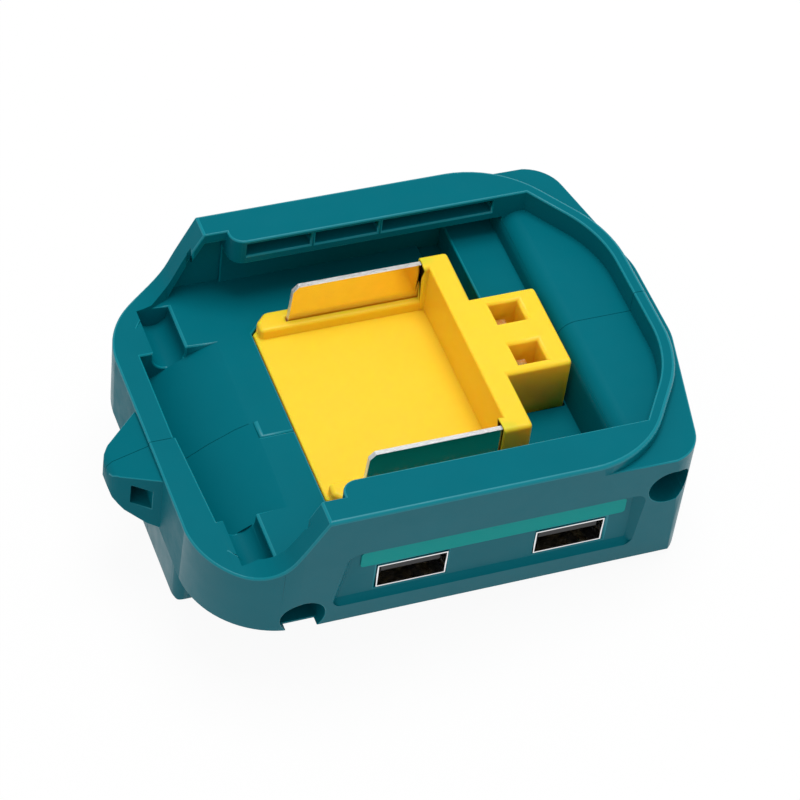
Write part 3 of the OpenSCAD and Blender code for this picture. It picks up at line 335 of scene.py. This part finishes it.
def rounded_copy(node, radius_of, skin_of, materials, widest, edge_skin=-1, segments=3):
    """A copy of a solid with rounded outer edges that stands for it in the picture.

    radius_of gives an edge's radius in mm from its middle and its two normals,
    and skin_of gives the number of a face's material from its middle and normal.
    edge_skin is the number of the rounding's own material, or -1 for its neighbours'."""
    source = nodes[node]
    mesh = source.data.copy()
    mesh.materials.clear()
    for mat in materials:
        mesh.materials.append(mat)
    obj = bpy.data.objects.new(node + "_rounded", mesh)
    scene.collection.objects.link(obj)
    bm = bmesh.new()
    bm.from_mesh(mesh)
    bmesh.ops.remove_doubles(bm, verts=bm.verts, dist=WELD * MM)
    bmesh.ops.dissolve_limit(bm, angle_limit=FLAT_BEND, verts=bm.verts, edges=bm.edges)
    weight = bm.edges.layers.float.new("bevel_weight_edge")
    for face in bm.faces:
        face.smooth = True
        face.material_index = skin_of(face.calc_center_median() / MM, face.normal)
    sharp = {}
    for edge in bm.edges:
        bend = edge.calc_face_angle_signed(0.0)
        edge.smooth = abs(bend) < LEAST_BEND
        if LEAST_BEND <= bend <= MOST_BEND:
            normals = [face.normal for face in edge.link_faces]
            radius = radius_of(middle_of(edge) / MM, normals)
            if radius and is_open(middle_of(edge), (normals[0] + normals[1]).normalized()):
                sharp[edge] = radius
    for chain in edge_chains(list(sharp)):
        radius = min([sharp[edge] for edge in chain] + [chain_room(chain) * ROOM_SHARE])
        if radius >= LEAST_RADIUS:
            for edge in chain:
                edge[weight] = radius / widest
                edge.smooth = True
    bm.to_mesh(mesh)
    bm.free()
    bevel = obj.modifiers.new("rounding", "BEVEL")
    bevel.limit_method = "WEIGHT"
    bevel.width = widest * MM
    bevel.segments = segments
    bevel.use_clamp_overlap = False
    bevel.material = edge_skin
    smooth = obj.modifiers.new("flat faces", "WEIGHTED_NORMAL")
    smooth.keep_sharp = True
    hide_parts(node)
    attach(obj, "adapter")
    return obj


# Radii of the shells' edges, in mm
OUTER_EDGE = 0.9
PANEL_EDGE = 0.8
INNER_EDGE = 0.35
LUG_EDGE = 0.15
RECESS_EDGE = 0.12
# Radii of the other pieces' edges: the terminal block, sheet metal, and along a socket
BLOCK_EDGE = 0.8
SHEET_EDGE = 0.08
SOCKET_EDGE = 0.5
# Where those edges are: within the seam, beside a screw's axis, and out on the port side
SEAM_HALF = 0.3
RECESS_R = 6.0
RECESS_Y = -30.0
PANEL_Y = -33.0
PANEL_TOP_Z = SHOULDER_Z - 2.0
# A normal's part along an axis: below ALONG the face runs along the axis, above SQUARE it is square to it
ALONG = 0.3
SQUARE = 0.9
# The least part of a normal that faces up or out, for an outer edge
FACING = 0.4


def screw_axes():
    """Where the case screws' axes cross the side wall, as x and z."""
    points = [v.co / MM for v in nodes["case_screws"].data.vertices]
    groups = [[p for p in points if p.x < 0], [p for p in points if p.x >= 0]]
    return [Vector((sum(p.x for p in g), sum(p.z for p in g))) / len(g) for g in groups]


SCREW_AXES = screw_axes()


def shell_radius(middle, normals):
    """No rounding along the parting line, little inside, more on the outer edges and round the port panel."""
    if abs(middle.y) < SEAM_HALF and any(abs(n.y) > SQUARE for n in normals):
        return 0.0
    if middle.x < ENTRY_X:
        return LUG_EDGE
    on_side = Vector((middle.x, middle.z))
    if middle.y < RECESS_Y and any((on_side - axis).length < RECESS_R for axis in SCREW_AXES):
        return RECESS_EDGE
    outward = Vector((middle.x, middle.y, 0)).normalized()
    faces_up = any(n.z > FACING for n in normals)
    faces_out = any(abs(n.z) < ALONG and n.dot(outward) > FACING for n in normals)
    if faces_up and faces_out:
        return OUTER_EDGE
    return PANEL_EDGE if middle.y < PANEL_Y and middle.z < PANEL_TOP_Z else INNER_EDGE


def shell_skin(middle, normal):
    """0 for smooth faces and 1 for the grained outside."""
    outside = PART_TREE.ray_cast((middle + normal * LIFT) * MM, normal)[0] is None
    if middle.x < ENTRY_X or not outside:
        return 0
    return 1 if abs(normal.z) < ALONG or normal.z < -SQUARE else 0


for node in ("front_shell", "rear_shell"):
    # The third material, the lighter teal, goes on the roundings as a painted highlight.
    skins = [housing_smooth, housing_grain, housing_painted_highlight]
    shell = rounded_copy(node, shell_radius, shell_skin, skins, 1.0, 2)

block = rounded_copy("terminal_block", lambda m, n: BLOCK_EDGE, lambda m, n: 0, [yellow_plastic], 1.0)


def blade_skin(middle, normal):
    """0 for the blade's two faces and 1 for its edges."""
    return 0 if abs(normal.y) > SQUARE else 1


for node in ("positive_blade", "negative_blade"):
    blade = rounded_copy(node, lambda m, n: SHEET_EDGE, blade_skin, [blade_face, blade_edge], 0.1, 1, 2)


def port_radius(middle, normals):
    """Round along the socket, and just broken at its mouth."""
    return SOCKET_EDGE if all(abs(n.y) < ALONG for n in normals) else SHEET_EDGE


for node in ("usb_left_shell", "usb_right_shell"):
    port = rounded_copy(node, port_radius, lambda m, n: 0, [port_metal], 0.6)


# Camera at the photograph's angle

FOCAL_PX = 3340.3
IMAGE_PX = 800
SENSOR = 36
AZIMUTH = math.radians(-26.015)
ELEVATION = math.radians(46.934)
ROLL = math.radians(8.462)
DISTANCE = 606.35
TARGET = Vector((4.67, 1.68, 22.1))


def add_camera():
    """A camera that looks at the target from the photograph's side, rolled about its line of sight."""
    back = Vector((
        math.sin(AZIMUTH) * math.cos(ELEVATION),
        -math.cos(AZIMUTH) * math.cos(ELEVATION),
        math.sin(ELEVATION)))
    level = Vector((math.cos(AZIMUTH), math.sin(AZIMUTH), 0))
    rise = back.cross(level)
    right = level * math.cos(ROLL) + rise * math.sin(ROLL)
    up = -level * math.sin(ROLL) + rise * math.cos(ROLL)
    data = bpy.data.cameras.new("camera")
    data.sensor_width = SENSOR
    data.lens = FOCAL_PX * SENSOR / IMAGE_PX
    data.clip_start = 0.01
    data.clip_end = 20
    camera = bpy.data.objects.new("camera", data)
    scene.collection.objects.link(camera)
    turn = Matrix((right, up, back)).transposed().to_4x4()
    camera.matrix_world = Matrix.Translation((TARGET + back * DISTANCE) * MM) @ turn
    scene.camera = camera


add_camera()

# Floor under the lamp bar's inner edge and the nose

FLOOR_SIZE = 6
FLOOR_DROP = 0.3
# How much of the floor is plain white to the camera and in reflections
FLOOR_GLOW = 0.94


def floor_material():
    """A pale floor that looks white and keeps a faint shadow; from below it isn't there."""
    mat, tree, shader = start_material("floor")
    vary_color(tree, shader, (0.86, 0.86, 0.86), 40.0, 0.01)
    shader.inputs["Roughness"].default_value = 0.7
    ray = tree.nodes.new("ShaderNodeLightPath")
    seen = math_node(tree, "MAXIMUM", ray.outputs["Is Camera Ray"], ray.outputs["Is Glossy Ray"])
    glow_share = math_node(tree, "MULTIPLY", seen, FLOOR_GLOW)
    glow = add_node(tree, "ShaderNodeEmission", Color=(1, 1, 1, 1), Strength=1.0)
    top = mix_shaders(tree, glow_share, shader.outputs["BSDF"], glow.outputs["Emission"])
    geometry = tree.nodes.new("ShaderNodeNewGeometry")
    clear = tree.nodes.new("ShaderNodeBsdfTransparent")
    surface = mix_shaders(tree, geometry.outputs["Backfacing"], top, clear.outputs["BSDF"])
    tree.links.new(surface, tree.nodes["Material Output"].inputs["Surface"])
    mat.cycles.emission_sampling = "NONE"
    return mat


floor_tilt = math.atan2(FOOT_Z, BODY_LEN - BAR_LEN)
bpy.ops.mesh.primitive_plane_add(
    size=FLOOR_SIZE, location=((ENTRY_X + BAR_LEN) * MM, 0, -FLOOR_DROP * MM), rotation=(0, -floor_tilt, 0))
floor = bpy.context.object
floor.name = "floor"
floor.data.materials.append(floor_material())

# Light

AMBIENT = 0.62
# Reflections see white up to the first height of their direction, and only DIM above the second
WHITE_TO = 0.25
DIM_FROM = 0.6
DIM = 0.1


def add_world():
    """Even light all round, a white background, and dimmer reflections of what is overhead."""
    world = bpy.data.worlds.new("studio")
    scene.world = world
    world.use_nodes = True
    world.cycles.sampling_method = "NONE"
    tree = world.node_tree
    ambient = tree.nodes["Background"]
    ambient.inputs["Color"].default_value = (1, 1, 1, 1)
    ambient.inputs["Strength"].default_value = AMBIENT
    place = tree.nodes.new("ShaderNodeTexCoord")
    split = tree.nodes.new("ShaderNodeSeparateXYZ")
    fade = add_node(
        tree, "ShaderNodeMapRange", From_Min=WHITE_TO, From_Max=DIM_FROM, To_Min=1.0, To_Max=DIM)
    tree.links.new(place.outputs["Generated"], split.inputs["Vector"])
    tree.links.new(split.outputs["Z"], fade.inputs["Value"])
    ray = tree.nodes.new("ShaderNodeLightPath")
    direct = math_node(tree, "MAXIMUM", ray.outputs["Is Camera Ray"], ray.outputs["Is Transmission Ray"])
    seen = math_node(tree, "MAXIMUM", direct, ray.outputs["Is Glossy Ray"])
    white = add_node(tree, "ShaderNodeBackground", Color=(1, 1, 1, 1))
    strength = math_node(tree, "MAXIMUM", direct, fade.outputs["Result"])
    tree.links.new(strength, white.inputs["Strength"])
    surface = mix_shaders(tree, seen, ambient.outputs["Background"], white.outputs["Background"])
    tree.links.new(surface, tree.nodes["World Output"].inputs["Surface"])


def softbox(name, place_mm, size_mm, watts):
    """A square lamp at a place, turned to the part."""
    lamp = bpy.data.lights.new(name, "AREA")
    lamp.energy = watts
    lamp.size = size_mm * MM
    obj = bpy.data.objects.new(name, lamp)
    scene.collection.objects.link(obj)
    obj.location = Vector(place_mm) * MM
    obj.rotation_euler = (-obj.location).to_track_quat("-Z", "Y").to_euler()


scene.view_settings.view_transform = "Standard"
add_world()
softbox("key", (50, 85, 715), 380, 3.4)
